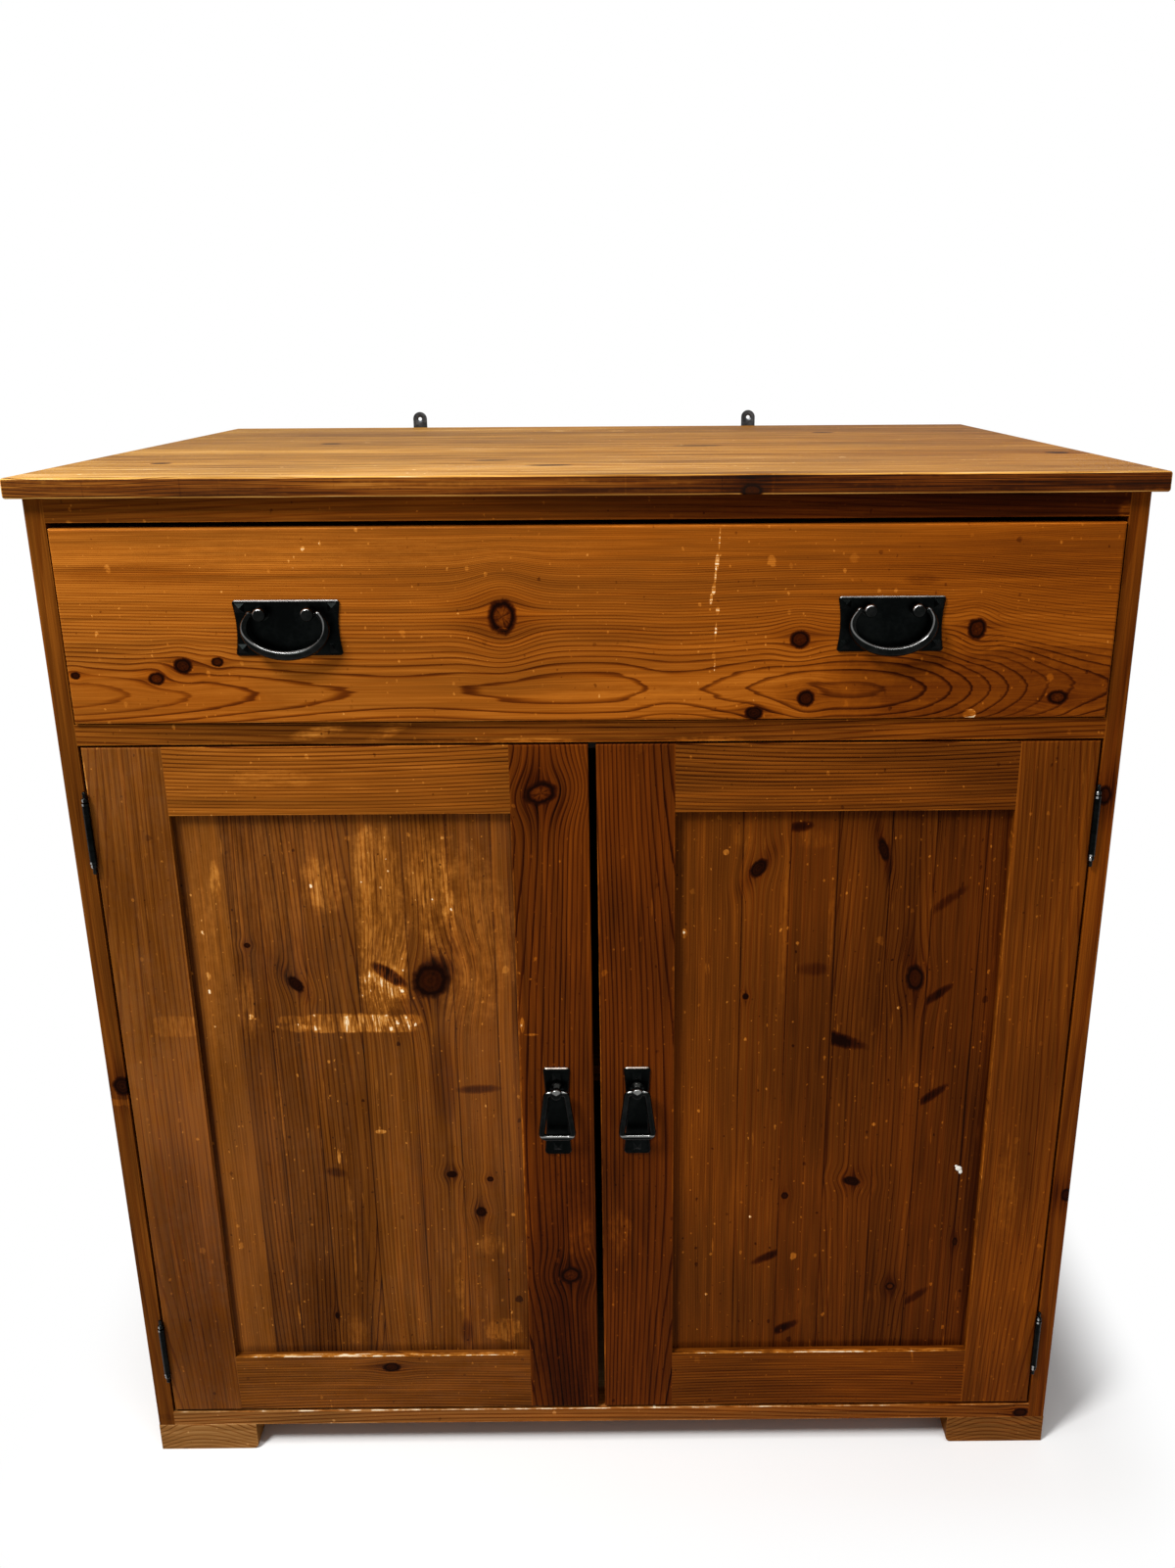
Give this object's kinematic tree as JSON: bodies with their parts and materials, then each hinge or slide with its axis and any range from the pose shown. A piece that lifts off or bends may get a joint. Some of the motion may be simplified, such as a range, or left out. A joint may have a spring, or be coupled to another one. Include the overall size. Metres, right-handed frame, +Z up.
{
  "type": "jelly cupboard",
  "caption": "Low pine cupboard on block feet with a wide drawer over panelled doors, black iron bail pulls, drop handles and finial hinges.",
  "frame": {"origin": "on the floor under the middle of the overall box", "axes": "+Z up, front with the doors and drawer faces -Y, +X to the right of a person facing the front"},
  "size_m": [1.024, 0.7617, 1.101],
  "materials": {
    "stained_pine": "honey to brown stain under satin varnish",
    "bare_pine": "planed, unstained, aged",
    "black_iron": "satin black",
    "bright_steel": "zinc-plated",
    "catch_plastic": "matte brown"
  },
  "bodies": {
    "carcass": {"top_board": "stained_pine", "left_side": "stained_pine", "right_side": "stained_pine", "bottom_board": "stained_pine", "top_rail": "stained_pine", "middle_rail": "stained_pine", "front_left_foot": "stained_pine", "front_right_foot": "stained_pine", "rear_left_foot": "stained_pine", "rear_right_foot": "stained_pine", "rear_rail": "bare_pine", "left_drawer_runner": "bare_pine", "right_drawer_runner": "bare_pine", "left_drawer_kicker": "bare_pine", "right_drawer_kicker": "bare_pine", "shelf": "stained_pine", "left_shelf_cleat": "bare_pine", "right_shelf_cleat": "bare_pine", "back_boards": "bare_pine", "left_wall_lug": "black_iron", "right_wall_lug": "black_iron", "hinge_frame_leaves": "black_iron", "hinge_pins": "black_iron", "door_catch": "catch_plastic", "carcass_screws": "bright_steel"},
    "drawer": {"drawer_front": "stained_pine", "drawer_left_side": "bare_pine", "drawer_right_side": "bare_pine", "drawer_back": "bare_pine", "drawer_bottom": "bare_pine", "left_bail_plate": "black_iron", "right_bail_plate": "black_iron", "left_bail_posts": "black_iron", "right_bail_posts": "black_iron", "drawer_fasteners": "black_iron"},
    "left_bail": {"left_bail": "black_iron"},
    "right_bail": {"right_bail": "black_iron"},
    "left_door": {"left_door_hinge_stile": "stained_pine", "left_door_lock_stile": "stained_pine", "left_door_top_rail": "stained_pine", "left_door_bottom_rail": "stained_pine", "left_door_panel": "stained_pine", "left_hinge_door_leaves": "black_iron", "left_drop_plate": "black_iron", "left_drop_post": "black_iron", "left_catch_strike": "bright_steel", "left_door_fasteners": "black_iron"},
    "left_drop": {"left_drop": "black_iron"},
    "right_door": {"right_door_hinge_stile": "stained_pine", "right_door_lock_stile": "stained_pine", "right_door_top_rail": "stained_pine", "right_door_bottom_rail": "stained_pine", "right_door_panel": "stained_pine", "right_hinge_door_leaves": "black_iron", "right_drop_plate": "black_iron", "right_drop_post": "black_iron", "right_catch_strike": "bright_steel", "right_door_fasteners": "black_iron"},
    "right_drop": {"right_drop": "black_iron"}
  },
  "joints": [
    {"name": "drawer_slide", "type": "slide", "parent": "carcass", "child": "drawer", "axis": [0, -1, 0], "range_m": [0, 0.45]},
    {"name": "left_door_hinge", "type": "hinge", "parent": "carcass", "child": "left_door", "pos_m": [-0.48075, -0.3624, 0.44325], "axis": [0, 0, -1], "range_deg": [0, 170]},
    {"name": "right_door_hinge", "type": "hinge", "parent": "carcass", "child": "right_door", "pos_m": [0.48075, -0.3624, 0.44325], "axis": [0, 0, 1], "range_deg": [0, 170]},
    {"name": "left_bail_swing", "type": "hinge", "parent": "drawer", "child": "left_bail", "pos_m": [-0.274, -0.37525, 0.95975], "axis": [-1, 0, 0], "range_deg": [0, 90]},
    {"name": "right_bail_swing", "type": "hinge", "parent": "drawer", "child": "right_bail", "pos_m": [0.274, -0.37525, 0.95975], "axis": [-1, 0, 0], "range_deg": [0, 90]},
    {"name": "left_drop_swing", "type": "hinge", "parent": "left_door", "child": "left_drop", "pos_m": [-0.04125, -0.37125, 0.465], "axis": [-1, 0, 0], "range_deg": [0, 90]},
    {"name": "right_drop_swing", "type": "hinge", "parent": "right_door", "child": "right_drop", "pos_m": [0.04125, -0.37125, 0.465], "axis": [-1, 0, 0], "range_deg": [0, 90]}
  ]
}
